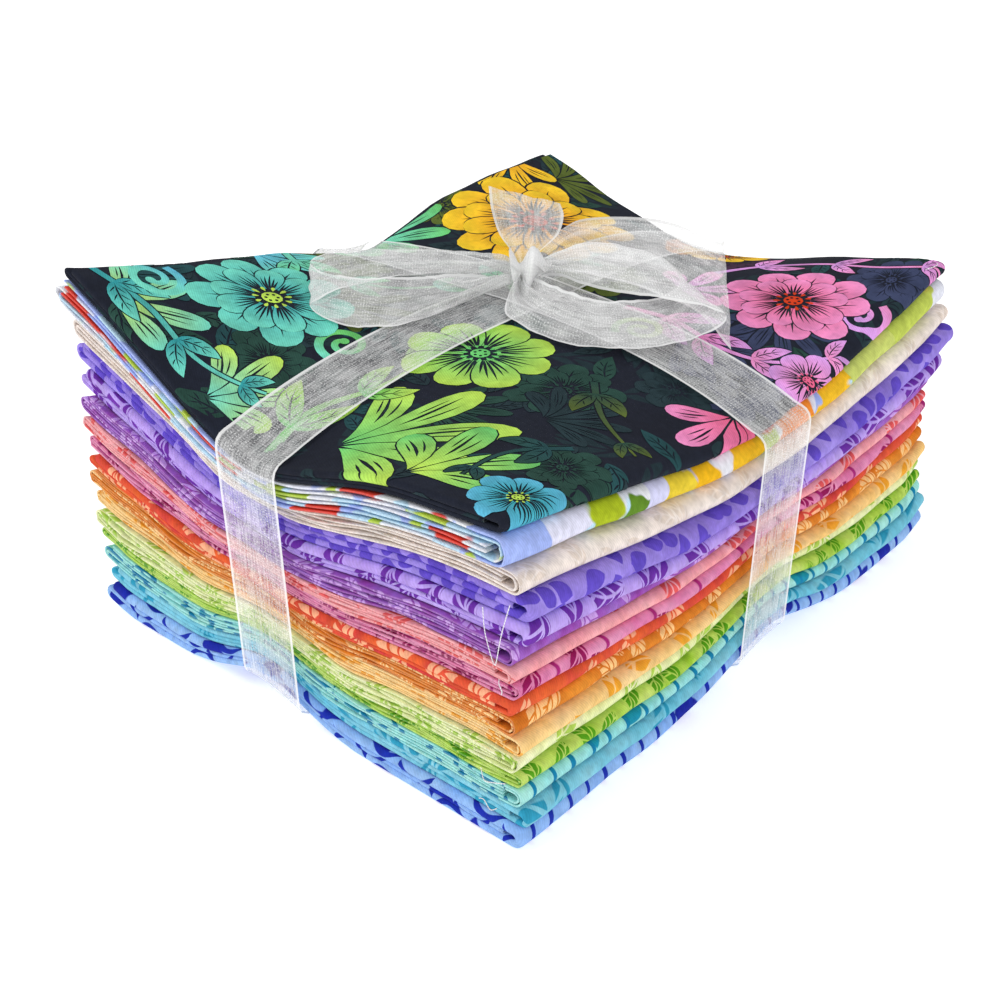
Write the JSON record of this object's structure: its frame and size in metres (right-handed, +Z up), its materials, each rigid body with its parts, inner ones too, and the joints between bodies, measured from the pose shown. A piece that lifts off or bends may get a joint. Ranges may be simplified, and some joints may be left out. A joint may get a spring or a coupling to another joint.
{
  "type": "fabric bundle",
  "caption": "Stack of folded patterned quilting cottons, tied both ways with sheer ribbon and a bow on top.",
  "frame": {"origin": "under the middle of the bundle's box, on the surface that it lies on", "axes": "+X along the short side, towards the folded spines; +Y along the long side; +Z up"},
  "size_m": [0.1974, 0.2396, 0.1379],
  "materials": {
    "cotton_01_black_floral": "printed cotton",
    "cotton_02_pastel": "printed cotton",
    "cotton_03_cream": "printed cotton",
    "cotton_04_periwinkle": "printed cotton",
    "cotton_05_lavender": "printed cotton",
    "cotton_06_plum": "printed cotton",
    "cotton_07_pink": "printed cotton",
    "cotton_08_orchid": "printed cotton",
    "cotton_09_crimson": "printed cotton",
    "cotton_10_orange": "printed cotton",
    "cotton_11_peach": "printed cotton",
    "cotton_12_pale_green": "printed cotton",
    "cotton_13_green": "printed cotton",
    "cotton_14_aqua": "printed cotton",
    "cotton_15_teal": "printed cotton",
    "cotton_16_blue": "printed cotton",
    "ribbon": "sheer organza"
  },
  "bodies": {
    "root": {"cotton_01_black_floral": "cotton_01_black_floral", "cotton_02_pastel": "cotton_02_pastel", "cotton_03_cream": "cotton_03_cream", "cotton_04_periwinkle": "cotton_04_periwinkle", "cotton_05_lavender": "cotton_05_lavender", "cotton_06_plum": "cotton_06_plum", "cotton_07_pink": "cotton_07_pink", "cotton_08_orchid": "cotton_08_orchid", "cotton_09_crimson": "cotton_09_crimson", "cotton_10_orange": "cotton_10_orange", "cotton_11_peach": "cotton_11_peach", "cotton_12_pale_green": "cotton_12_pale_green", "cotton_13_green": "cotton_13_green", "cotton_14_aqua": "cotton_14_aqua", "cotton_15_teal": "cotton_15_teal", "cotton_16_blue": "cotton_16_blue", "ribbon_band_inner": "ribbon", "ribbon_band_outer": "ribbon", "ribbon_knot": "ribbon", "ribbon_loop_left": "ribbon", "ribbon_loop_right": "ribbon", "ribbon_tail_right": "ribbon", "ribbon_tail_up": "ribbon"}
  },
  "joints": []
}
